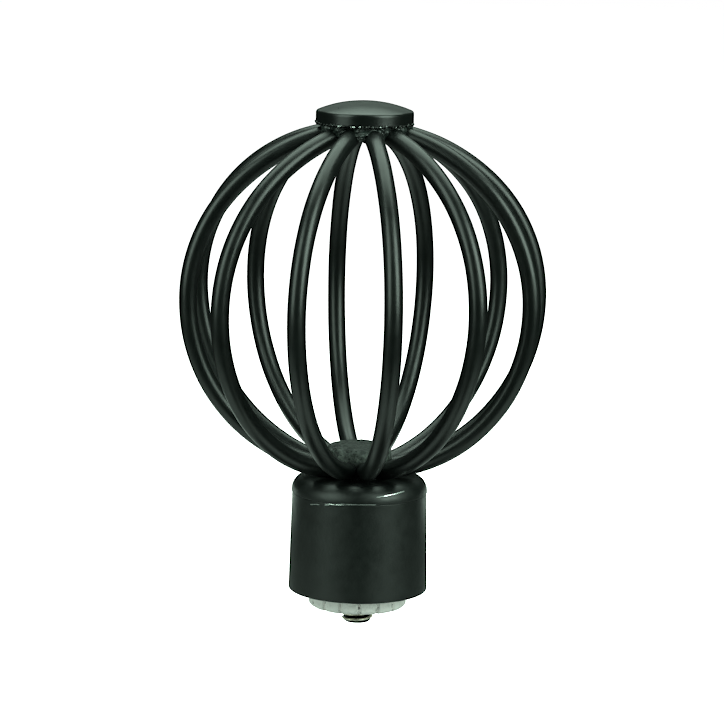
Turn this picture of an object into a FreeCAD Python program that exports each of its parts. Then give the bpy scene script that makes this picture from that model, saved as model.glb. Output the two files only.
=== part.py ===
import FreeCAD, Part
import math
import os

# A wire ball finial for the end of a curtain pole: bent wire ribs are welded to a button cap above and to a hub below,
# the hub stands on a drawn collar, and a stud holds a moulded plug in the collar for the pole's tube.
# The origin is the centre of the collar's open mouth, and +Z runs up the axis to the cap.

# Cage of ribs, in millimetres and degrees
ball_diameter = 70.0
wire_diameter = 3.2
rib_count = 12
first_rib_angle = 15.0
rib_lower_radius = 33.1
rib_shoulder_radius = 30.2
rib_crown_radius = 36.0
crown_start_angle = 45.0
rib_side_gap = 0.12
weld_gap = 0.05

# Button cap
cap_diameter = 18.3
cap_edge_height = 2.3
cap_dome_rise = 1.9
cap_edge_radius = 0.45
cap_boss_length = 2.9

# Hub, standing on the collar's roof
hub_height = 6.2
hub_dome_rise = 0.6
hub_edge_radius = 1.0
hub_crown_thickness = 1.5

# Drawn collar
collar_height = 22.0
collar_mouth_diameter = 26.4
collar_neck_diameter = 25.5
collar_wall = 0.9
collar_shoulder_radius = 2.8
collar_draw_drop = 0.3
collar_draw_step = 0.12
collar_rim_radius = 0.25

# Moulded plug
plug_diameter = 18.7
plug_reach = 3.2
plug_end_radius = 0.8
plug_groove_count = 16
plug_groove_width = 0.8
plug_groove_depth = 0.45

# Threaded stud
stud_diameter = 6.0
stud_reach = 3.25
stud_chamfer = 0.7
stud_floor_gap = 0.3
thread_clearance = 0.05
collar_hole_clearance = 0.3

ORIGIN = FreeCAD.Vector(0, 0, 0)
AXIS = FreeCAD.Vector(0, 0, 1)

# Places that follow from the driving dimensions
wire_radius = wire_diameter / 2
cage_radius = ball_diameter / 2 - wire_radius
rib_pitch = 360.0 / rib_count
hub_radius = (wire_diameter + rib_side_gap) / (2 * math.sin(math.radians(rib_pitch / 2)))
rib_end_radius = hub_radius + weld_gap
stud_radius = stud_diameter / 2
thread_bore_radius = stud_radius + thread_clearance
roof_underside = collar_height - collar_wall
hub_top_edge = collar_height + hub_height - hub_dome_rise
tapped_depth = hub_height - hub_crown_thickness


def point(radius, height):
    """A point of a profile, in the plane that holds the axis."""
    return FreeCAD.Vector(radius, 0, height)


def on_arc(centre, radius, angle):
    """The point of an arc at this angle above the horizontal."""
    turn = math.radians(angle)
    return point(centre.x + radius * math.cos(turn), centre.z + radius * math.sin(turn))


def line(start, end):
    return Part.LineSegment(start, end).toShape()


def arc(start, middle, end):
    return Part.Arc(start, middle, end).toShape()


def turned(edges):
    """A solid of revolution from the closed half profile that these edges make."""
    return Part.Face(Part.Wire(edges)).revolve(ORIGIN, AXIS, 360)


def dome(edge_radius, edge_height, rise):
    """The half profile of a shallow dome, from its edge to the axis."""
    sphere_radius = (edge_radius ** 2 + rise ** 2) / (2 * rise)
    centre = point(0, edge_height + rise - sphere_radius)
    half_angle = math.degrees(math.asin(edge_radius / sphere_radius))
    return arc(point(edge_radius, edge_height), on_arc(centre, sphere_radius, 90 - half_angle / 2),
               point(0, edge_height + rise))


def circles_at(solid, height, radius):
    """The circular edges of a turned solid at this height and radius."""
    found = []
    for edge in solid.Edges:
        if edge.Degenerated or not isinstance(edge.Curve, Part.Circle):
            continue
        level = abs(edge.Curve.Center.z - height) < 1e-6
        if level and abs(edge.Curve.Radius - radius) < 1e-6:
            found.append(edge)
    return found


# The wire's bends, about centres in the rib's own plane with the equator at height zero
lower_centre = point(cage_radius - rib_lower_radius, 0)
shoulder_centre = point(cage_radius - rib_shoulder_radius, 0)
crown_start = on_arc(shoulder_centre, rib_shoulder_radius, crown_start_angle)
crown_centre = on_arc(crown_start, rib_crown_radius, crown_start_angle + 180)


def arc_rise(centre, radius, from_axis):
    """How far an arc lies above or below its centre's height at this distance from the axis."""
    reach = max(from_axis - centre.x, 0)
    return math.sqrt(radius ** 2 - reach ** 2)


# The ribs stand on the collar's roof beside the hub, and the cap lies on them beside its boss
rib_foot = arc_rise(lower_centre, rib_lower_radius + wire_radius, rib_end_radius)
rib_head = crown_centre.z + arc_rise(crown_centre, rib_crown_radius + wire_radius, rib_end_radius)
equator_height = collar_height + weld_gap + rib_foot
cap_foot = equator_height + rib_head + weld_gap
cap_rim = cap_foot + cap_edge_height


def bend(centre, radius, from_angle, to_angle):
    """One bend of the wire: its round section turned about the bend's centre."""
    start = on_arc(centre, radius, from_angle)
    turn = math.radians(from_angle)
    along = FreeCAD.Vector(-math.sin(turn), 0, math.cos(turn))
    section = Part.Face(Part.Wire(Part.makeCircle(wire_radius, start, along)))
    return section.revolve(centre, FreeCAD.Vector(0, -1, 0), to_angle - from_angle)


def end_angle(centre, radius):
    """The angle at which a bend has run far enough in for its end to be coped to the hub."""
    return math.degrees(math.acos((hub_radius - wire_radius - centre.x) / radius))


def make_rib():
    """One rib in the XZ plane: three bends in a row, with both ends coped to the round hub and boss."""
    lower = bend(lower_centre, rib_lower_radius, -end_angle(lower_centre, rib_lower_radius), 0)
    shoulder = bend(shoulder_centre, rib_shoulder_radius, 0, crown_start_angle)
    crown = bend(crown_centre, rib_crown_radius, crown_start_angle, end_angle(crown_centre, rib_crown_radius))
    wire = lower.fuse([shoulder, crown]).removeSplitter()
    wire.translate(FreeCAD.Vector(0, 0, equator_height))
    core = Part.makeCylinder(rib_end_radius, cap_rim)
    return wire.cut(core).Solids[0]


def make_top_cap():
    """The domed button, turned in one piece with the boss that the ribs are welded round."""
    cap_radius = cap_diameter / 2
    boss_end = cap_foot - cap_boss_length
    cap = turned([
        line(point(0, boss_end), point(hub_radius, boss_end)),
        line(point(hub_radius, boss_end), point(hub_radius, cap_foot)),
        line(point(hub_radius, cap_foot), point(cap_radius, cap_foot)),
        line(point(cap_radius, cap_foot), point(cap_radius, cap_rim)),
        dome(cap_radius, cap_rim, cap_dome_rise),
        line(point(0, cap_rim + cap_dome_rise), point(0, boss_end)),
    ])
    return cap.makeFillet(cap_edge_radius, circles_at(cap, cap_rim, cap_radius))


def make_hub():
    """The slug inside the cage, tapped from below for the stud."""
    hole_floor = collar_height + tapped_depth
    hub = turned([
        line(point(thread_bore_radius, collar_height), point(hub_radius, collar_height)),
        line(point(hub_radius, collar_height), point(hub_radius, hub_top_edge)),
        dome(hub_radius, hub_top_edge, hub_dome_rise),
        line(point(0, collar_height + hub_height), point(0, hole_floor)),
        line(point(0, hole_floor), point(thread_bore_radius, hole_floor)),
        line(point(thread_bore_radius, hole_floor), point(thread_bore_radius, collar_height)),
    ])
    return hub.makeFillet(hub_edge_radius, circles_at(hub, hub_top_edge, hub_radius))


def make_collar():
    """The drawn cup: a flared wall, a fine step at the draw line, a round shoulder and a roof with the stud's hole."""
    mouth_radius = collar_mouth_diameter / 2
    neck_radius = collar_neck_diameter / 2
    shoulder_edge = neck_radius + collar_draw_step
    hole_radius = stud_radius + collar_hole_clearance
    shoulder_foot = collar_height - collar_shoulder_radius
    draw_height = shoulder_foot - collar_draw_drop
    inner_shoulder_radius = collar_shoulder_radius - collar_wall
    inner_edge = shoulder_edge - collar_wall
    bend_centre = point(shoulder_edge - collar_shoulder_radius, shoulder_foot)
    inner_mouth = mouth_radius - collar_wall
    inner_neck = neck_radius - collar_wall
    cup = turned([
        line(point(inner_mouth, 0), point(mouth_radius, 0)),
        line(point(mouth_radius, 0), point(neck_radius, draw_height)),
        line(point(neck_radius, draw_height), point(shoulder_edge, draw_height)),
        line(point(shoulder_edge, draw_height), point(shoulder_edge, shoulder_foot)),
        arc(point(shoulder_edge, shoulder_foot), on_arc(bend_centre, collar_shoulder_radius, 45),
            point(bend_centre.x, collar_height)),
        line(point(bend_centre.x, collar_height), point(hole_radius, collar_height)),
        line(point(hole_radius, collar_height), point(hole_radius, roof_underside)),
        line(point(hole_radius, roof_underside), point(bend_centre.x, roof_underside)),
        arc(point(bend_centre.x, roof_underside), on_arc(bend_centre, inner_shoulder_radius, 45),
            point(inner_edge, shoulder_foot)),
        line(point(inner_edge, shoulder_foot), point(inner_edge, draw_height)),
        line(point(inner_edge, draw_height), point(inner_neck, draw_height)),
        line(point(inner_neck, draw_height), point(inner_mouth, 0)),
    ])
    rim = circles_at(cup, 0, mouth_radius) + circles_at(cup, 0, inner_mouth)
    return cup.makeFillet(collar_rim_radius, rim)


def make_plug():
    """The moulded plug: a fluted spigot for the pole's bore, seated on the flat of the collar's roof."""
    radius = plug_diameter / 2
    seat_bevel = collar_shoulder_radius - collar_wall
    body = turned([
        line(point(thread_bore_radius, -plug_reach), point(radius, -plug_reach)),
        line(point(radius, -plug_reach), point(radius, roof_underside - seat_bevel)),
        line(point(radius, roof_underside - seat_bevel), point(radius - seat_bevel, roof_underside)),
        line(point(radius - seat_bevel, roof_underside), point(thread_bore_radius, roof_underside)),
        line(point(thread_bore_radius, roof_underside), point(thread_bore_radius, -plug_reach)),
    ])
    body = body.makeFillet(plug_end_radius, circles_at(body, -plug_reach, radius))
    # Each groove is a round-bottomed channel along the spigot's whole length
    half_width = plug_groove_width / 2
    length = roof_underside + plug_reach
    floor_radius = radius - plug_groove_depth + half_width
    channel = Part.makeCylinder(half_width, length, FreeCAD.Vector(floor_radius, 0, -plug_reach))
    mouth = Part.makeBox(radius, plug_groove_width, length, FreeCAD.Vector(floor_radius, -half_width, -plug_reach))
    groove = channel.fuse(mouth).removeSplitter()
    grooves = []
    for index in range(plug_groove_count):
        copy = groove.copy()
        copy.rotate(ORIGIN, AXIS, index * 360.0 / plug_groove_count)
        grooves.append(copy)
    return body.cut(grooves).Solids[0]


def make_stud():
    """The threaded stud at its major diameter, from the hub's tapped hole to below the plug, bevelled at both ends."""
    foot = -plug_reach - stud_reach
    head = collar_height + tapped_depth - stud_floor_gap
    stud = Part.makeCylinder(stud_radius, head - foot, FreeCAD.Vector(0, 0, foot))
    ends = circles_at(stud, foot, stud_radius) + circles_at(stud, head, stud_radius)
    return stud.makeChamfer(stud_chamfer, ends)


def export(name, shape):
    shape.exportStep(os.path.join("parts", name + ".step"))
    print(name, "valid", shape.isValid(), "solids", len(shape.Solids), "volume", round(shape.Volume, 2))


os.makedirs("parts", exist_ok=True)
export("top_cap", make_top_cap())
export("hub", make_hub())
export("base_collar", make_collar())
export("pole_plug", make_plug())
export("stud", make_stud())
rib = make_rib()
for index in range(rib_count):
    copy = rib.copy()
    copy.rotate(ORIGIN, AXIS, first_rib_angle + index * rib_pitch)
    export(f"rib_{index + 1:02d}", copy)
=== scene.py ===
import math
import random

import bpy
from mathutils import Matrix, Vector, noise


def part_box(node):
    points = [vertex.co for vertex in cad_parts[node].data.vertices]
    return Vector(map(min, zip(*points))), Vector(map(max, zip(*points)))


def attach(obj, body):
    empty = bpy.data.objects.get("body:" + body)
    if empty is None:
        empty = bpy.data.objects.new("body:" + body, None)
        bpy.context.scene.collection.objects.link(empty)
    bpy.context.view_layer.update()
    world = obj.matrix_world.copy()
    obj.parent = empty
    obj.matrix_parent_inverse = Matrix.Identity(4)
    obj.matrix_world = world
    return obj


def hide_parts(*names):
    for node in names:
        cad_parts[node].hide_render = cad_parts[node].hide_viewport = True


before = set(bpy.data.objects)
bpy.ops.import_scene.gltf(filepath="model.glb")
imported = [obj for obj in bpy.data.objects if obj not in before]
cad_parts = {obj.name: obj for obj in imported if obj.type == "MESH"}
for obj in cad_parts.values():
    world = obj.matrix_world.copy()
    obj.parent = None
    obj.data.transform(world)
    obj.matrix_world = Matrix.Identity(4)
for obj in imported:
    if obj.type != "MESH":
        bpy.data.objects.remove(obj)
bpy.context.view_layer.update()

MM = 0.001
TAU = 2 * math.pi

# Lengths below this count as nothing
TINY = 1e-7

# Wire cage, as the solids have it
rib_count = 12
first_rib_angle = math.radians(15)
wire_radius = 1.6 * MM
cage_radius = 33.4 * MM
lower_bend = 33.1 * MM
shoulder_bend = 30.2 * MM
crown_bend = 36.0 * MM
crown_start_angle = math.radians(45)
weld_gap = 0.05 * MM

# Paint gathers on the inner side of the bends, so a painted wire is this much thicker than the bare one
paint_build = 0.18 * MM

# Bends off true that show plainly in this cage, read off the photograph: the rib's number,
# the place along it from its foot at 0 to its head at 1, and how far it is bent outwards and sideways
# in millimetres
rib_bends = (
    (1, 0.25, 0.35, 0.0),
    (2, 0.45, 0.4, -0.35),
    (3, 0.70, 0.0, -0.4),
    (4, 0.20, 0.0, 0.2),
    (5, 0.75, 0.3, 0.35),
    (6, 0.70, 0.8, 0.0),
    (7, 0.65, -0.2, 0.0),
    (8, 0.25, 0.5, -0.3),
    (8, 0.85, -0.4, 0.2),
    (10, 0.60, 0.0, 0.2),
    (11, 0.25, -0.4, -0.35),
)
bend_spread = 0.3

# The button and the hub were welded on a little to one side
cap_offset = Vector((-0.38, -0.04, 0)) * MM
hub_offset = Vector((-0.25, -0.03, 0)) * MM

# Radius of the button's lower edge, which the weld spatter sits on
cap_foot_edge = 0.20 * MM

# The photograph's camera, fitted to the ribs and rims that it shows: turn about Z from looking along +Y,
# angle above the level, distance, roll, and how far below the ball's middle it looks
camera_azimuth = math.radians(5.87)
camera_elevation = math.radians(9.893)
camera_distance = 596.98 * MM
camera_roll = math.radians(1.155)
look_drop = 12.437 * MM
focal_pixels = 3157.4
picture_pixels = 724
sensor_width = 36.0

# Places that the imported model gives
hub_low, hub_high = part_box("hub")
cap_low, cap_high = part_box("top_cap")
_, collar_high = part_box("base_collar")
plug_low, plug_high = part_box("pole_plug")
stud_low, stud_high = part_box("stud")
rib_low, rib_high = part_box("rib_01")
hub_radius = hub_high.x
cap_radius = cap_high.x
roof_height = collar_high.z
cap_foot = rib_high.z + weld_gap
rib_end_radius = hub_radius + weld_gap
lower_centre = cage_radius - lower_bend
rib_foot_drop = math.sqrt((lower_bend + wire_radius) ** 2 - (rib_end_radius - lower_centre) ** 2)
equator_height = rib_low.z + rib_foot_drop


# Mesh helpers

def fractal(point, size, octaves, seed):
    """Smooth noise from about -1 to 1 whose largest features are this size in metres. Another seed gives
    another pattern."""
    shift = Vector((seed, seed * 0.7, -seed))
    fading = 1.0
    finer = 2.0
    return noise.fractal(point / size + shift, fading, finer, octaves)


def share(value, start, end):
    """How far a value has gone from start to end, from 0 to 1."""
    return min(1.0, max(0.0, (value - start) / (end - start)))


def around(radius, turn, height):
    """The point at this radius and turn about the axis."""
    return Vector((radius * math.cos(turn), radius * math.sin(turn), height))


def away_from_axis(v):
    """The level direction from the axis to a point."""
    return Vector((v.x, v.y, 0)).normalized()


def add_piece(name, vertices, faces, material, nodes=(), mask=None):
    """A smooth mesh piece of the object that rides on its one body and stands for these solids. mask has
    a number from 0 to 1 for each vertex, which the material may read."""
    mesh = bpy.data.meshes.new(name)
    mesh.from_pydata([tuple(v) for v in vertices], [], faces)
    mesh.polygons.foreach_set("use_smooth", [True] * len(mesh.polygons))
    mesh.materials.append(material)
    if mask:
        layer = mesh.color_attributes.new("mask", "FLOAT_COLOR", "POINT")
        layer.data.foreach_set("color", [c for m in mask for c in (m, m, m, 1.0)])
    mesh.update()
    piece = bpy.data.objects.new(name, mesh)
    bpy.context.scene.collection.objects.link(piece)
    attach(piece, "root")
    if nodes:
        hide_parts(*nodes)
    return piece


def arc_points(centre, radius, start, end, count):
    """Points (r, z) along an arc of a half profile, with angles in degrees from the outward direction."""
    points = []
    for i in range(count + 1):
        a = math.radians(start + (end - start) * i / count)
        points.append((centre[0] + radius * math.cos(a), centre[1] + radius * math.sin(a)))
    return points


def line_points(start, end, count):
    """Points from start to end, both included."""
    return [tuple(s + (e - s) * i / count for s, e in zip(start, end)) for i in range(count + 1)]


def profile(*stretches):
    """One half profile from stretches that meet, with repeated points dropped."""
    points = []
    for stretch in stretches:
        for p in stretch:
            if not points or math.dist(p, points[-1]) > TINY:
                points.append(p)
    return points


def lathe(points, segments, closed=False, shape=None):
    """Turns a half profile about Z. A point on the axis becomes one vertex. shape may move each vertex."""
    vertices, rings, faces = [], [], []
    for r, z in points:
        count = 1 if r < TINY else segments
        rings.append([len(vertices) + j for j in range(count)])
        for j in range(count):
            vertices.append(around(r, TAU * j / segments, z))
    pairs = list(zip(rings, rings[1:]))
    if closed:
        pairs.append((rings[-1], rings[0]))
    for low, high in pairs:
        for j in range(segments):
            k = (j + 1) % segments
            corners = [low[j % len(low)], low[k % len(low)], high[k % len(high)], high[j % len(high)]]
            faces.append(tuple(dict.fromkeys(corners)))
    if shape:
        vertices = [shape(v) for v in vertices]
    return vertices, faces


def band(low, high, count):
    """The faces between two rings of this many vertices, which start at the vertices low and high."""
    faces = []
    for j in range(count):
        k = (j + 1) % count
        faces.append((low + j, low + k, high + k, high + j))
    return faces


# Materials

PAINT_DARK = (0.0025, 0.0037, 0.0032)
PAINT_LIGHT = (0.0042, 0.0059, 0.0052)
HUB_DARK = (0.024, 0.027, 0.025)
HUB_DUST = (0.130, 0.145, 0.133)
BARE_METAL_GLINT = (0.62, 0.66, 0.64)
BARE_ROUGHNESS = 0.25
NYLON_DARK = (0.86, 0.80, 0.79)
NYLON_LIGHT = (0.95, 0.89, 0.88)
NYLON_SPECK = (0.10, 0.10, 0.09)
STEEL_DARK = (0.62, 0.56, 0.44)
STEEL_LIGHT = (0.90, 0.86, 0.74)
THREAD_VALLEY_SHADE = (0.012, 0.011, 0.010)
FLOOR_DARK = (0.93, 0.93, 0.93)
FLOOR_LIGHT = (0.95, 0.95, 0.95)

# Most values of a noise texture lie in this range
NOISE_RANGE = (0.3, 0.7)


class Nodes:
    """A short way to add nodes to a material and join them."""

    def __init__(self, name, material=None):
        self.material = material or bpy.data.materials.new(name)
        self.material.use_nodes = True
        self.tree = self.material.node_tree
        self.shader = self.tree.nodes["Principled BSDF"]
        self.place = self.add("ShaderNodeTexCoord").outputs["Object"]

    def add(self, kind, **settings):
        """A new node with these settings."""
        node = self.tree.nodes.new(kind)
        for key, value in settings.items():
            setattr(node, key, value)
        return node

    def link(self, output, socket):
        """Joins an output to an input, in place of what was joined to it."""
        self.tree.links.new(output, socket)

    def feed(self, key, output):
        """Joins an output to one of the surface's inputs."""
        self.link(output, self.shader.inputs[key])

    def fix(self, key, value):
        """Sets one of the surface's inputs to a constant."""
        self.shader.inputs[key].default_value = value

    def fed(self, key):
        """The output that one of the surface's inputs is joined to."""
        return self.shader.inputs[key].links[0].from_socket

    def noise(self, size, detail=3.0, roughness=0.5):
        """Noise whose features are about this size in metres."""
        node = self.add("ShaderNodeTexNoise")
        node.inputs["Scale"].default_value = 1 / size
        node.inputs["Detail"].default_value = detail
        node.inputs["Roughness"].default_value = roughness
        self.link(self.place, node.inputs["Vector"])
        return node.outputs["Fac"]

    def mask(self):
        """The number that the mesh holds for each vertex."""
        return self.add("ShaderNodeVertexColor", layer_name="mask").outputs["Color"]

    def times(self, first, second):
        """The product of two outputs."""
        node = self.add("ShaderNodeMath", operation="MULTIPLY")
        self.link(first, node.inputs[0])
        self.link(second, node.inputs[1])
        return node.outputs["Value"]

    def spread(self, value, low, high, to_low=0.0, to_high=1.0):
        """Maps low to high onto to_low to to_high, clamped."""
        node = self.add("ShaderNodeMapRange")
        for key, number in (("From Min", low), ("From Max", high), ("To Min", to_low), ("To Max", to_high)):
            node.inputs[key].default_value = number
        self.link(value, node.inputs["Value"])
        return node.outputs["Result"]

    def blend(self, factor, first, second):
        """A colour between two, by a factor from 0 to 1."""
        node = self.add("ShaderNodeMix", data_type="RGBA")
        self.link(factor, node.inputs["Factor"])
        for key, colour in (("A", first), ("B", second)):
            socket = next(s for s in node.inputs if s.name == key and s.type == "RGBA")
            if isinstance(colour, tuple):
                socket.default_value = (*colour, 1)
            else:
                self.link(colour, socket)
        return next(s for s in node.outputs if s.type == "RGBA")

    def mix(self, factor, first, second):
        """A number between an output and a constant, by a factor from 0 to 1."""
        node = self.add("ShaderNodeMix", data_type="FLOAT")
        # The node's inputs for plain numbers, by place, because those for colours have the same names
        factor_input, first_input, second_input = node.inputs[0], node.inputs[2], node.inputs[3]
        self.link(factor, factor_input)
        self.link(first, first_input)
        second_input.default_value = second
        return node.outputs[0]

    def bump(self, height, distance, strength, after=None):
        """Relief of this height, on top of an earlier one if there is one."""
        node = self.add("ShaderNodeBump")
        node.inputs["Distance"].default_value = distance
        node.inputs["Strength"].default_value = strength
        self.link(height, node.inputs["Height"])
        if after:
            self.link(after, node.inputs["Normal"])
        return node.outputs["Normal"]


def paint_material(name, gloss, peel_strength, grain_strength, pale=1.0):
    """Satin black enamel: faint mottling, uneven gloss, orange peel and a fine grain. gloss is a range of
    roughness, and pale says how much greyer a thin or dusty coat looks."""
    n = Nodes(name)
    light = tuple(c * pale for c in PAINT_LIGHT)
    mottle = n.spread(n.noise(4.0 * MM / pale, 4.0), *NOISE_RANGE)
    n.feed("Base Color", n.blend(mottle, PAINT_DARK, light))
    n.feed("Roughness", n.spread(n.noise(2.2 * MM, 5.0, 0.6), *NOISE_RANGE, *gloss))
    peel = n.bump(n.noise(0.9 * MM, 2.0), 0.05 * MM, peel_strength)
    n.feed("Normal", n.bump(n.noise(0.16 * MM, 3.0, 0.6), 0.02 * MM, grain_strength, peel))
    return n.material


def wear_and_glint_paint_material(name, gloss, peel_strength, grain_strength):
    """The same enamel, rubbed through to bright metal in broken dashes where the mesh's mask allows it; the
    masks lay these dashes where glints show from the front, so they are painted glints as well as wear.
    """
    n = Nodes(name, paint_material(name, gloss, peel_strength, grain_strength))
    dashes = n.spread(n.noise(1.6 * MM, 4.0, 0.75), 0.36, 0.50)
    wear_and_glint = n.times(n.mask(), dashes)
    n.feed("Base Color", n.blend(wear_and_glint, n.fed("Base Color"), BARE_METAL_GLINT))
    n.feed("Roughness", n.mix(wear_and_glint, n.fed("Roughness"), BARE_ROUGHNESS))
    n.feed("Metallic", wear_and_glint)
    return n.material


def hub_material():
    """Thin dusty paint over a hammered and pitted top: grey patches and black pits, and plain black where
    the mesh's mask is zero, low down by the roof, which is painted shade."""
    n = Nodes("dusty_black_hub_with_painted_shade")
    patches = n.blend(n.spread(n.noise(1.3 * MM, 5.0, 0.7), 0.38, 0.62), HUB_DARK, HUB_DUST)
    pits = n.spread(n.noise(0.6 * MM, 3.0, 0.6), 0.60, 0.66)
    top = n.blend(pits, patches, PAINT_DARK)
    n.feed("Base Color", n.blend(n.mask(), PAINT_DARK, top))
    n.feed("Roughness", n.spread(n.noise(0.9 * MM, 5.0, 0.6), *NOISE_RANGE, 0.38, 0.66))
    dents = n.bump(n.noise(0.9 * MM, 3.0), 0.10 * MM, 0.7)
    n.feed("Normal", n.bump(n.noise(0.16 * MM, 3.0, 0.6), 0.03 * MM, 1.0, dents))
    n.fix("Specular IOR Level", 0.2)
    return n.material


def nylon_material():
    """Milky moulded nylon: soft mottling, a little light through the edges, and dark specks, most in the
    flutes."""
    n = Nodes("milky_nylon")
    milky = n.blend(n.spread(n.noise(2.5 * MM, 4.0), *NOISE_RANGE), NYLON_DARK, NYLON_LIGHT)
    specks = n.spread(n.noise(0.7 * MM, 4.0, 0.7), 0.50, 0.62)
    n.feed("Base Color", n.blend(n.times(n.mask(), specks), milky, NYLON_SPECK))
    n.feed("Roughness", n.spread(n.noise(1.5 * MM), *NOISE_RANGE, 0.38, 0.55))
    n.feed("Normal", n.bump(n.noise(0.5 * MM, 4.0), 0.05 * MM, 0.25))
    n.fix("Subsurface Weight", 0.4)
    n.fix("Subsurface Radius", (1.0, 1.0, 1.0))
    n.fix("Subsurface Scale", 1.5 * MM)
    return n.material


def steel_material():
    """Zinc-plated thread: warm bright crests, valleys painted near black as painted shade, and uneven
    polish.
    """
    n = Nodes("plated_thread")
    crest = n.blend(n.spread(n.noise(0.8 * MM, 5.0, 0.6), 0.35, 0.65), STEEL_DARK, STEEL_LIGHT)
    unshaded = n.spread(n.mask(), 0.35, 0.75)
    n.feed("Base Color", n.blend(unshaded, THREAD_VALLEY_SHADE, crest))
    n.feed("Roughness", n.spread(n.noise(0.5 * MM, 4.0), *NOISE_RANGE, 0.22, 0.42))
    n.feed("Normal", n.bump(n.noise(0.12 * MM, 3.0), 0.01 * MM, 0.2))
    n.fix("Metallic", 1.0)
    return n.material


def floor_material():
    """A plain pale floor that reads as clean white."""
    n = Nodes("pale_floor")
    n.feed("Base Color", n.blend(n.noise(0.4), FLOOR_DARK, FLOOR_LIGHT))
    n.fix("Roughness", 0.9)
    n.fix("Emission Color", (1, 1, 1, 1))
    n.fix("Emission Strength", 1.0)
    return n.material


wire_paint = paint_material("satin_black_wire", (0.30, 0.38), 0.05, 0.06)
collar_paint = wear_and_glint_paint_material("satin_black_collar", (0.36, 0.48), 0.10, 0.20)
cap_paint = paint_material("satin_black_cap", (0.27, 0.33), 0.05, 0.06)
weld_paint = paint_material("satin_black_weld", (0.22, 0.50), 0.50, 0.90, 5.0)
spatter_paint = wear_and_glint_paint_material("worn_glinting_black_spatter", (0.20, 0.42), 0.30, 0.50)
hub_paint = hub_material()
nylon = nylon_material()
steel = steel_material()


# Ribs

def rib_path():
    """The wire's centreline in the rib's own plane, as (distance from the axis, height, outward angle).
    Its ends run into the hub and the boss."""
    sink = 1.0 * MM
    shoulder_centre = cage_radius - shoulder_bend
    crown_point = (shoulder_centre + shoulder_bend * math.cos(crown_start_angle),
                   shoulder_bend * math.sin(crown_start_angle))
    crown_centre = (crown_point[0] - crown_bend * math.cos(crown_start_angle),
                    crown_point[1] - crown_bend * math.sin(crown_start_angle))
    low_end = -math.acos((rib_end_radius - sink - lower_centre) / lower_bend)
    high_end = math.acos((rib_end_radius - sink - crown_centre[0]) / crown_bend)
    bends = (((lower_centre, 0), lower_bend, low_end, 0, 54),
             ((shoulder_centre, 0), shoulder_bend, 0, crown_start_angle, 26),
             (crown_centre, crown_bend, crown_start_angle, high_end, 28))
    path = []
    for centre, radius, start, end, steps in bends:
        for i in range(1 if path else 0, steps + 1):
            a = start + (end - start) * i / steps
            r = centre[0] + radius * math.cos(a)
            z = centre[1] + radius * math.sin(a) + equator_height
            path.append((r, z, a))
    return path


def off_true(number, along):
    """How far a rib lies outwards and sideways of its true place. Each bend fades along the rib, and the
    welded ends are true."""
    outward = sideways = 0.0
    free = 1 - (2 * along - 1) ** 8
    for rib, place, outward_bend, sideways_bend in rib_bends:
        if rib == number:
            bent = free * math.exp(-((along - place) / bend_spread) ** 2)
            outward += bent * outward_bend * MM
            sideways += bent * sideways_bend * MM
    return outward, sideways


def make_rib(index, path):
    """One bent wire, a little off true along its length as a hand-welded cage is, and not quite even in
    thickness."""
    sides = 28
    unevenness = 0.012
    turn = first_rib_angle + index * TAU / rib_count
    out = Vector((math.cos(turn), math.sin(turn), 0))
    across = Vector((-math.sin(turn), math.cos(turn), 0))
    vertices, faces = [], []
    for i, (r, z, angle) in enumerate(path):
        along = i / (len(path) - 1)
        normal = out * math.cos(angle) + Vector((0, 0, math.sin(angle)))
        outward, sideways = off_true(index + 1, along)
        centre = out * r + Vector((0, 0, z)) + normal * (outward - paint_build / 2) + across * sideways
        spot = Vector((index * 2.3, along * 14, 4.0))
        radius = (wire_radius + paint_build / 2) * (1 + unevenness * noise.noise(spot))
        for j in range(sides):
            a = TAU * j / sides
            vertices.append(centre + (normal * math.cos(a) + across * math.sin(a)) * radius)
    for i in range(len(path) - 1):
        faces += band(i * sides, (i + 1) * sides, sides)
    faces.append(tuple(reversed(range(sides))))
    last = (len(path) - 1) * sides
    faces.append(tuple(last + j for j in range(sides)))
    name = f"rib_{index + 1:02d}"
    return add_piece("wire_" + name, vertices, faces, wire_paint, [name])


# Button cap, hub and collar

def make_cap():
    """The turned button with its boss, softly rounded at both edges and not quite true on top."""
    edge_height = 2.3 * MM
    edge = 0.60 * MM
    dent_depth, dent_size = 0.025 * MM, 5 * MM
    dent_sideways = 0.6
    rise = cap_high.z - (cap_foot + edge_height)
    sphere = (cap_radius ** 2 + rise ** 2) / (2 * rise)
    dome_centre = (0, cap_high.z - sphere)
    slope = math.degrees(math.asin((cap_radius - edge) / (sphere - edge)))
    corner_rise = math.sqrt((sphere - edge) ** 2 - (cap_radius - edge) ** 2)
    corner = (cap_radius - edge, dome_centre[1] + corner_rise)
    foot_corner = (cap_radius - cap_foot_edge, cap_foot + cap_foot_edge)
    points = profile(
        line_points((0, cap_low.z), (hub_radius, cap_low.z), 6),
        line_points((hub_radius, cap_low.z), (hub_radius, cap_foot), 4),
        line_points((hub_radius, cap_foot), (foot_corner[0], cap_foot), 4),
        arc_points(foot_corner, cap_foot_edge, -90, 0, 5),
        line_points((cap_radius, foot_corner[1]), (cap_radius, corner[1]), 8),
        arc_points(corner, edge, 0, 90 - slope, 8),
        arc_points(dome_centre, sphere, 90 - slope, 90, 24),
    )
    points[-1] = (0, cap_high.z)

    def shape(v):
        dent = dent_depth * fractal(v, dent_size, 2, 1.5)
        return v + cap_offset + away_from_axis(v) * dent * dent_sideways + Vector((0, 0, dent))
    vertices, faces = lathe(points, 128, shape=shape)
    return add_piece("button_cap", vertices, faces, cap_paint, ["top_cap"])


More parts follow.
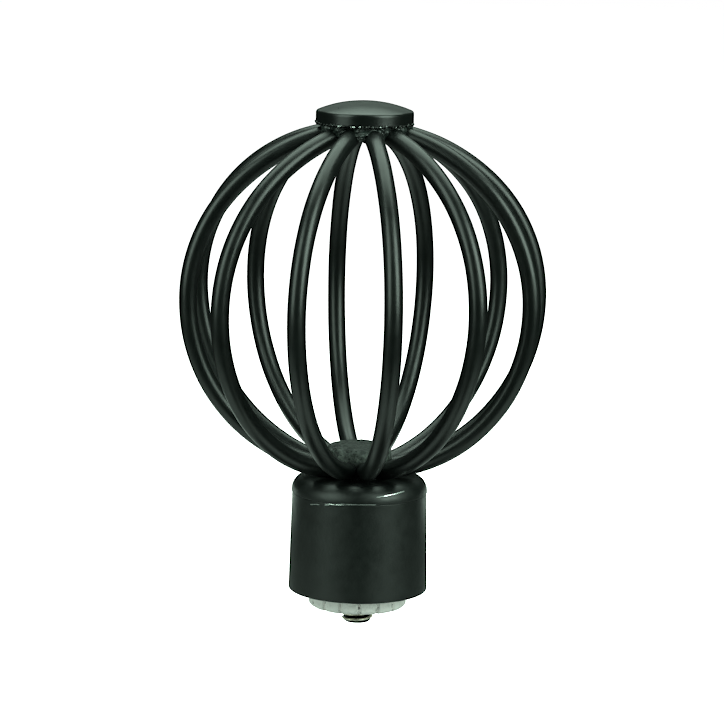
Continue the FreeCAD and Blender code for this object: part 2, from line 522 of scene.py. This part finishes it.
def make_hub():
    """The slug in the cage's floor, hammered in a little at its top, which is pitted."""
    edge = 1.0 * MM
    rise = 0.6 * MM
    top_inset = 0.3 * MM
    smooth_foot = 2 * MM
    swell_depth, swell_size = 0.16 * MM, 2.2 * MM
    grain_depth, grain_size = 0.07 * MM, 0.5 * MM
    pit_depth, pit_size = 0.6 * MM, 0.9 * MM
    pit_start = 0.35
    side_share, top_share = 0.6, 0.8
    top_radius = hub_radius - top_inset
    sphere = (top_radius ** 2 + rise ** 2) / (2 * rise)
    slope = math.degrees(math.asin((top_radius - edge) / (sphere - edge)))
    shoulder = hub_high.z - sphere + math.sqrt((sphere - edge) ** 2 - (top_radius - edge) ** 2)
    points = profile(
        line_points((0, hub_low.z), (hub_radius, hub_low.z), 6),
        line_points((hub_radius, hub_low.z), (top_radius, shoulder), 10),
        arc_points((top_radius - edge, shoulder), edge, 0, 90 - slope, 10),
        arc_points((0, hub_high.z - sphere), sphere, 90 - slope, 90, 30),
    )
    points[-1] = (0, hub_high.z)

    def shape(v):
        top = share(v.z, hub_low.z, hub_low.z + smooth_foot)
        rough = swell_depth * fractal(v, swell_size, 3, 4.0) + grain_depth * fractal(v, grain_size, 3, 9.0)
        pit = -pit_depth * max(0, fractal(v, pit_size, 2, 13.0) - pit_start)
        out = Vector((v.x, v.y, 0)) / hub_radius * side_share + Vector((0, 0, top_share))
        return v + hub_offset * top + out * top * (rough + pit)
    vertices, faces = lathe(points, 160, shape=shape)

    # Heights above the foot between which painted shade gives way to dust, and depths below the crown
    # between which the dust comes in
    foot_shaded, foot_dusty = 3.0 * MM, 4.2 * MM
    crown_thin, crown_dusty = 0.2 * MM, 1.4 * MM
    crown_dust = 0.3

    def dust_and_shade(v):
        """Thick on the shoulder, less on the crown, and none low down, where the plain black is painted
        shade.
        """
        above_foot = share(v.z - hub_low.z, foot_shaded, foot_dusty)
        below_crown = share(hub_high.z - v.z, crown_thin, crown_dusty)
        return above_foot * (crown_dust + (1 - crown_dust) * below_crown)
    mask = [dust_and_shade(v) for v in vertices]
    return add_piece("hub_slug", vertices, faces, hub_paint, ["hub"], mask)


def make_collar():
    """The drawn cup: flared wall, a fine groove at the draw line, a round shoulder and a holed roof."""
    mouth = collar_high.x
    neck = 12.75 * MM
    step = 0.12 * MM
    wall = 0.9 * MM
    bend = 2.8 * MM
    draw_drop = 0.3 * MM
    rim = 0.25 * MM
    lip = 0.11 * MM
    groove = 0.09 * MM
    hole = 3.3 * MM
    warp_depth, warp_size = 0.035 * MM, 9 * MM
    ripple_depth, ripple_size = 0.006 * MM, 1.5 * MM
    shoulder_foot = roof_height - bend
    draw = shoulder_foot - draw_drop
    bend_centre = (neck + step - bend, shoulder_foot)
    # The wall has finer rows in the zone below the draw line that is rubbed bare, as wear and a painted
    # glint
    rub_zone, zone_flare = 1.4 * MM, 0.03 * MM
    zone_head = (neck, draw - 2 * lip)
    zone_foot = (neck + zone_flare, zone_head[1] - rub_zone)
    groove_head = draw - lip * 0.3
    step_foot = draw + lip * 0.4
    points = profile(
        arc_points((mouth - rim, rim), rim, -90, 0, 5),
        line_points((mouth, rim), zone_foot, 36),
        line_points(zone_foot, zone_head, 18),
        arc_points((neck - lip, zone_head[1]), lip, 0, 80, 6),
        line_points((neck - groove, draw - lip), (neck - groove, groove_head), 2),
        arc_points((neck + step - lip, step_foot), lip, -80, 0, 5),
        line_points((neck + step, step_foot), (neck + step, shoulder_foot), 2),
        arc_points(bend_centre, bend, 0, 90, 48),
        line_points((bend_centre[0], roof_height), (hole, roof_height), 8),
        line_points((hole, roof_height), (hole, roof_height - wall), 2),
        line_points((hole, roof_height - wall), (bend_centre[0], roof_height - wall), 6),
        arc_points(bend_centre, bend - wall, 90, 0, 10),
        line_points((neck + step - wall, shoulder_foot), (mouth - wall, rim), 10),
        arc_points((mouth - wall + rim, rim), rim, 180, 270, 5),
    )

    def shape(v):
        warp = warp_depth * fractal(v, warp_size, 2, 2.0)
        ripple = ripple_depth * fractal(v, ripple_size, 2, 6.0)
        return v + away_from_axis(v) * (warp + ripple)
    vertices, faces = lathe(points, 320, closed=True, shape=shape)

    # Wear and painted glints, as bare metal, with turns in degrees from the front, positive to the right
    # Stretches of the rubbed line: from turn, to turn, half its width and how bare it is
    rubbed_glint = ((-46, -36, 0.06 * MM, 0.7), (-30, -6, 0.14 * MM, 1.0), (-6, 14, 0.06 * MM, 0.6))
    line_rise = 0.07 * MM
    line_sag = 2.8 * MM
    line_top_turn = 4
    # Stretches of the scrape, a painted glint of a light on the shoulder, in the same way, and how it
    # climbs
    bare_glint = ((15, 22, 0.05 * MM, 0.5), (22, 43, 0.085 * MM, 0.95))
    scrape_glint_height = roof_height - 1.65 * MM
    scrape_glint_height_turn = 16
    scrape_glint_climb = 0.55 * MM / 27
    wear_and_glint_depth = 3 * MM

    def wear_and_glint(v):
        """Where the paint is bare: a line across the front that crosses the draw line at a slant, wear and
        a painted glint both, and one short scrape that climbs the shoulder, which is a painted glint."""
        if math.hypot(v.x, v.y) < bend_centre[0] or v.z < shoulder_foot - wear_and_glint_depth:
            return 0.0
        to_right = v.x * math.cos(camera_azimuth) + v.y * math.sin(camera_azimuth)
        to_front = v.x * math.sin(camera_azimuth) - v.y * math.cos(camera_azimuth)
        turn = math.degrees(math.atan2(to_right, to_front))
        line = draw + line_rise - line_sag * (1 - math.cos(math.radians(turn - line_top_turn)))
        scrape_glint = scrape_glint_height + (turn - scrape_glint_height_turn) * scrape_glint_climb
        for height, stretches in ((line, rubbed_glint), (scrape_glint, bare_glint)):
            for start, end, half_width, bare in stretches:
                if start < turn <= end and abs(v.z - height) < half_width:
                    return bare
        return 0.0
    mask = [wear_and_glint(v) for v in vertices]
    return add_piece("collar_cup", vertices, faces, collar_paint, ["base_collar"], mask)


# Welds

def make_cap_weld():
    """The lumpy run of weld between boss, button and ribs: fuller between the ribs, with one lump in front
    where the run began. Each section is an arc that is closed along the boss and under the button."""
    rows, segments = 30, 480
    inner = hub_radius - 0.3 * MM
    reach, drop = 2.6 * MM, 2.7 * MM
    base, web_share, coarse_share, fine_share = 0.80, 0.26, 0.20, 0.12
    coarse_size, fine_size, lump_size = 3 * MM, 0.8 * MM, 1.2 * MM
    blob_turn, blob_spread, blob_reach = math.radians(273), math.radians(17), 2.8 * MM
    noise_radius, noise_rise = 8 * MM, 0.03
    offset = cap_offset * 0.5
    turns = [TAU * j / segments for j in range(segments)]
    vertices, faces = [], []
    for i in range(rows + 1):
        a = math.pi / 2 * i / rows
        blob_section = math.sin(math.pi * (i / rows) ** 1.6)
        for turn in turns:
            web = 0.5 + 0.5 * math.cos((turn - first_rib_angle) * rib_count + math.pi)
            spot = Vector((math.cos(turn), math.sin(turn), i * noise_rise)) * noise_radius
            coarse = fractal(spot, coarse_size, 3, 2.0)
            fine = fractal(spot, fine_size, 4, 5.0)
            full = base + web_share * web + coarse_share * coarse + fine_share * fine
            lumpy = 0.8 + 0.4 * fractal(spot, lump_size, 3, 9.0)
            blob = blob_reach * math.exp(-((turn - blob_turn) / blob_spread) ** 2) * lumpy
            r = inner + reach * full * math.cos(a) ** 0.8 + blob * blob_section
            z = cap_foot - drop * full * math.sin(a)
            vertices.append(around(r, turn, z) + offset)
    corner = len(vertices)
    for turn in turns:
        vertices.append(around(inner, turn, cap_foot) + offset)
    rings = [i * segments for i in range(rows + 1)] + [corner]
    for low, high in zip(rings, rings[1:] + rings[:1]):
        for j in range(segments):
            k = (j + 1) % segments
            faces.append((low + j, high + j, high + k, low + k))
    return add_piece("cap_weld", vertices, faces, weld_paint)


def make_spatter():
    """Beads of weld spatter stuck to the button's lower edge, painted over or, in front, bright bare metal
    that is a painted glint.
    """
    dice = random.Random(7)
    bead_count = 160
    rows, segments = 5, 8
    front_start = 0.75
    lumpiness = 0.3
    # Each bead is cut off this near its poles, as a share of half a turn
    pole = 0.03
    vertices, faces, bright = [], [], []
    for bead in range(bead_count):
        turn = dice.uniform(0, TAU)
        place = math.radians(dice.uniform(-90, -10))
        size = dice.uniform(0.12, 0.30) * MM
        r = cap_radius - cap_foot_edge * (1 - math.cos(place))
        z = cap_foot + cap_foot_edge * (1 + math.sin(place))
        centre = around(r, turn, z) + cap_offset
        # Beads that face the camera are left bright, as painted glints
        front = math.cos(turn - camera_azimuth + math.pi / 2) > front_start
        bare_glint = front and bead % 2 == 0
        first = len(vertices)
        for i in range(rows + 1):
            polar = math.pi * (pole + (1 - 2 * pole) * i / rows)
            for j in range(segments):
                way = around(math.sin(polar), TAU * j / segments, math.cos(polar))
                lump = 1 + lumpiness * noise.noise(way * 1.7 + Vector((bead, 0, 0)))
                vertices.append(centre + way * size * lump)
                bright.append(1.0 if bare_glint else 0.0)
        for i in range(rows):
            faces += band(first + (i + 1) * segments, first + i * segments, segments)
        faces.append(tuple(first + j for j in range(segments)))
        faces.append(tuple(first + rows * segments + j for j in reversed(range(segments))))
    return add_piece("weld_spatter", vertices, faces, spatter_paint, mask=bright)


# Plug and stud

def make_plug():
    """The fluted nylon plug, rounded at its end, with a bevelled seat against the collar's roof."""
    flutes, per_flute = 16, 20
    segments = flutes * per_flute
    pitch = TAU / flutes
    turn = math.radians(8.5)
    radius = plug_high.x
    depth, half_width = 0.45 * MM, 0.40 * MM
    crown = 0.06 * MM
    edge = 0.8 * MM
    bevel = 1.9 * MM
    hole = 3.05 * MM
    # The bore has more rows this far in from its ends, and is one long band between them
    bore_end = 2 * MM
    uneven_depth, uneven_size = 0.02 * MM, 2 * MM
    # Flutes fade out towards the axis between these radii
    flute_end, flute_full = radius - 1.6 * MM, radius - 0.6 * MM
    flute_specks, land_specks = 0.9, 0.12
    points = profile(
        line_points((hole, plug_low.z + bore_end), (hole, plug_low.z), 4),
        line_points((hole, plug_low.z), (radius - edge, plug_low.z), 12),
        arc_points((radius - edge, plug_low.z + edge), edge, -90, 0, 10),
        line_points((radius, plug_low.z + edge), (radius, plug_high.z - bevel), 24),
        line_points((radius, plug_high.z - bevel), (radius - bevel, plug_high.z), 4),
        line_points((radius - bevel, plug_high.z), (hole, plug_high.z), 4),
        line_points((hole, plug_high.z), (hole, plug_high.z - bore_end), 2),
    )

    def from_flute(v):
        """The angle from the middle of the nearest flute."""
        return (math.atan2(v.y, v.x) - turn + pitch / 2) % pitch - pitch / 2

    def shape(v):
        off = from_flute(v)
        across = abs(off) * radius
        fluted = share(math.hypot(v.x, v.y), flute_end, flute_full)
        cut = depth * math.sqrt(max(0.0, 1 - (across / half_width) ** 2))
        swell = crown * (1 - (2 * abs(off) / pitch - 1) ** 2)
        uneven = uneven_depth * fractal(v, uneven_size, 2, 3.0)
        return v + away_from_axis(v) * (fluted * (swell - crown - cut) + uneven)
    vertices, faces = lathe(points, segments, closed=True, shape=shape)
    speck_share = [flute_specks if abs(from_flute(v)) * radius < half_width else land_specks for v in vertices]
    return add_piece("fluted_plug", vertices, faces, nylon, ["pole_plug"], speck_share)


def make_stud():
    """The stud with its rolled thread as one helical surface, faded out at the bevelled ends."""
    pitch = 1.0 * MM
    tooth = 0.55 * MM
    thread_start = 0.5
    # Shares of the half pitch at which a flank leaves the root and reaches the crest
    root_end, crest_start = 0.12, 0.88
    segments, per_pitch = 64, 12
    radius = stud_high.x
    bevel = 0.7 * MM
    rows = int((stud_high.z - stud_low.z) / pitch * per_pitch)
    points = profile(
        [(0, stud_low.z)],
        line_points((radius - bevel, stud_low.z), (radius, stud_low.z + bevel), 8),
        line_points((radius, stud_low.z + bevel), (radius, stud_high.z - bevel), rows),
        line_points((radius, stud_high.z - bevel), (radius - bevel, stud_high.z), 4),
        [(0, stud_high.z)],
    )

    def shape(v):
        r = math.hypot(v.x, v.y)
        if r < TINY:
            return v
        phase = (v.z / pitch - math.atan2(v.y, v.x) / TAU + thread_start) % 1
        height = share(abs(phase - 0.5) * 2, root_end, crest_start)
        thread_radius = min(r, radius - tooth * (1 - height))
        return Vector((v.x / r * thread_radius, v.y / r * thread_radius, v.z))
    vertices, faces = lathe(points, segments, shape=shape)
    # The mask is low near the root, which darkens the thread's valleys as painted shade
    mask = [share(math.hypot(v.x, v.y), radius - tooth, radius) for v in vertices]
    return add_piece("threaded_stud", vertices, faces, steel, ["stud"], mask)


path = rib_path()
for index in range(rib_count):
    make_rib(index, path)
make_cap()
make_hub()
make_collar()
make_cap_weld()
make_spatter()
make_plug()
make_stud()


# Camera, studio light and floor

LIGHT_TINT = (0.77, 1.0, 0.86)
ROOM_GLOW = 0.03
BACK_GLOW = 0.02
EDGE_CRISPNESS = 0.06


def direction(azimuth, elevation):
    """The direction from the axis to a place at this azimuth and elevation."""
    level = math.cos(elevation)
    return Vector((math.sin(azimuth) * level, -math.cos(azimuth) * level, math.sin(elevation)))


def make_camera():
    """The photograph's camera, which looks down a little and is rolled a little."""
    data = bpy.data.cameras.new("photo_camera")
    data.sensor_width = sensor_width
    data.lens = focal_pixels * sensor_width / picture_pixels
    data.clip_start = 0.01
    data.clip_end = 20
    camera = bpy.data.objects.new("photo_camera", data)
    back = direction(camera_azimuth, camera_elevation)
    level = Vector((math.cos(camera_azimuth), math.sin(camera_azimuth), 0))
    upright = back.cross(level)
    right = level * math.cos(camera_roll) + upright * math.sin(camera_roll)
    up = upright * math.cos(camera_roll) - level * math.sin(camera_roll)
    target = Vector((0, 0, equator_height - look_drop))
    axes = Matrix((right, up, back)).transposed()
    camera.matrix_world = Matrix.Translation(target + back * camera_distance) @ axes.to_4x4()
    bpy.context.scene.collection.objects.link(camera)
    bpy.context.scene.camera = camera


def add_area_light(name, width, height, power):
    """A rectangular light that the camera doesn't see."""
    data = bpy.data.lights.new(name, "AREA")
    data.shape = "RECTANGLE"
    data.size = width
    data.size_y = height
    data.energy = power
    data.color = LIGHT_TINT
    light = bpy.data.objects.new(name, data)
    light.visible_camera = False
    bpy.context.scene.collection.objects.link(light)
    return light


def add_softbox(name, azimuth, elevation, distance, width, height, power):
    """A light that faces the ball, at an azimuth in degrees counted from the camera's."""
    light = add_area_light(name, width, height, power)
    back = direction(camera_azimuth + math.radians(azimuth), math.radians(elevation))
    light.location = Vector((0, 0, equator_height)) + back * distance
    light.rotation_mode = "QUATERNION"
    light.rotation_quaternion = back.to_track_quat("Z", "Y")
    return light


def add_table_glow(name, azimuth, reach, width, depth, power):
    """A lit patch of a table below the object, as a light that faces up."""
    table_drop = 38 * MM
    light = add_area_light(name, width, depth, power)
    a = camera_azimuth + math.radians(azimuth)
    light.location = direction(a, 0) * reach + Vector((0, 0, stud_low.z - table_drop))
    light.rotation_euler = (math.pi, 0, a)


def add_card(name, azimuth):
    """A small lit card close behind the collar, for the pale edges of its upper wall."""
    card_distance, card_width, card_height = 60 * MM, 50 * MM, 14 * MM
    card_power = 0.0029
    light = add_softbox(name, azimuth, 0, card_distance, card_width, card_height, card_power)
    light.location.z = 10 * MM


def make_world():
    """A white backdrop for the camera. What is reflected is a dim room, dimmest behind the object."""
    fade_start, fade_end = 0.35, 0.95
    world = bpy.data.worlds.new("studio")
    world.use_nodes = True
    bpy.context.scene.world = world
    nodes, links = world.node_tree.nodes, world.node_tree.links
    nodes.clear()
    seen = nodes.new("ShaderNodeLightPath")
    backdrop = nodes.new("ShaderNodeBackground")
    backdrop.inputs["Color"].default_value = (1, 1, 1, 1)
    place = nodes.new("ShaderNodeTexCoord")
    facing = nodes.new("ShaderNodeVectorMath")
    facing.operation = "DOT_PRODUCT"
    facing.inputs[1].default_value = -direction(camera_azimuth, 0)
    links.new(place.outputs["Generated"], facing.inputs[0])
    fade = nodes.new("ShaderNodeMapRange")
    fade.interpolation_type = "SMOOTHSTEP"
    fade.inputs["From Min"].default_value = fade_start
    fade.inputs["From Max"].default_value = fade_end
    fade.inputs["To Min"].default_value = ROOM_GLOW
    fade.inputs["To Max"].default_value = BACK_GLOW
    links.new(facing.outputs["Value"], fade.inputs["Value"])
    room = nodes.new("ShaderNodeBackground")
    room.inputs["Color"].default_value = (*LIGHT_TINT, 1)
    links.new(fade.outputs["Result"], room.inputs["Strength"])
    mix = nodes.new("ShaderNodeMixShader")
    output = nodes.new("ShaderNodeOutputWorld")
    links.new(seen.outputs["Is Camera Ray"], mix.inputs["Fac"])
    links.new(room.outputs["Background"], mix.inputs[1])
    links.new(backdrop.outputs["Background"], mix.inputs[2])
    links.new(mix.outputs["Shader"], output.inputs["Surface"])


def make_floor():
    """A wide floor well below the object, which hangs free as in the photograph."""
    half = 3.0
    depth = stud_low.z - 60 * MM
    corners = [(x * half, y * half, depth) for x, y in ((-1, -1), (1, -1), (1, 1), (-1, 1))]
    mesh = bpy.data.meshes.new("floor")
    mesh.from_pydata(corners, [], [(0, 1, 2, 3)])
    mesh.materials.append(floor_material())
    floor = bpy.data.objects.new("floor", mesh)
    floor.visible_glossy = False
    floor.visible_diffuse = False
    bpy.context.scene.collection.objects.link(floor)


def sharpen_picture():
    """Crisp dark edges, as in the photograph, which was sharpened."""
    scene = bpy.context.scene
    scene.use_nodes = True
    nodes, links = scene.node_tree.nodes, scene.node_tree.links
    nodes.clear()
    layers = nodes.new("CompositorNodeRLayers")
    crisp = nodes.new("CompositorNodeFilter")
    crisp.filter_type = "SHARPEN_DIAMOND"
    crisp.inputs["Fac"].default_value = EDGE_CRISPNESS
    output = nodes.new("CompositorNodeComposite")
    links.new(layers.outputs["Image"], crisp.inputs["Image"])
    links.new(crisp.outputs["Image"], output.inputs["Image"])


make_camera()
# Azimuth and elevation in degrees, then distance, width and height in metres and power in watts
add_softbox("left_softbox", -52, 24, 0.75, 0.45, 0.74, 3.9)
add_softbox("right_softbox", 52, 25.5, 0.75, 0.45, 0.69, 6.4)
add_softbox("top_softbox", 180, 74, 0.75, 1.1, 0.60, 6.6)
add_softbox("back_softbox", 180, 47, 0.75, 0.60, 0.22, 0.74)
add_softbox("low_back_softbox", 180, 22, 0.75, 0.60, 0.24, 0.16)
add_softbox("left_bounce", -58, -55, 0.60, 0.50, 0.45, 0.15)
add_softbox("right_bounce", 58, -55, 0.60, 0.50, 0.45, 0.35)
# Azimuth in degrees, then reach, width and depth in metres and power in watts
add_table_glow("table_behind", 180, 0.09, 0.30, 0.16, 0.075)
add_table_glow("table_left", -85, 0.15, 0.20, 0.22, 0.06)
add_table_glow("table_right", 85, 0.15, 0.20, 0.22, 0.025)
add_table_glow("table_front_left", -46, 0.095, 0.11, 0.10, 0.020)
add_table_glow("table_front_right", 46, 0.095, 0.11, 0.10, 0.020)
add_card("left_card", -146)
add_card("right_card", 146)
make_world()
make_floor()
sharpen_picture()
bpy.context.scene.view_settings.view_transform = "Standard"
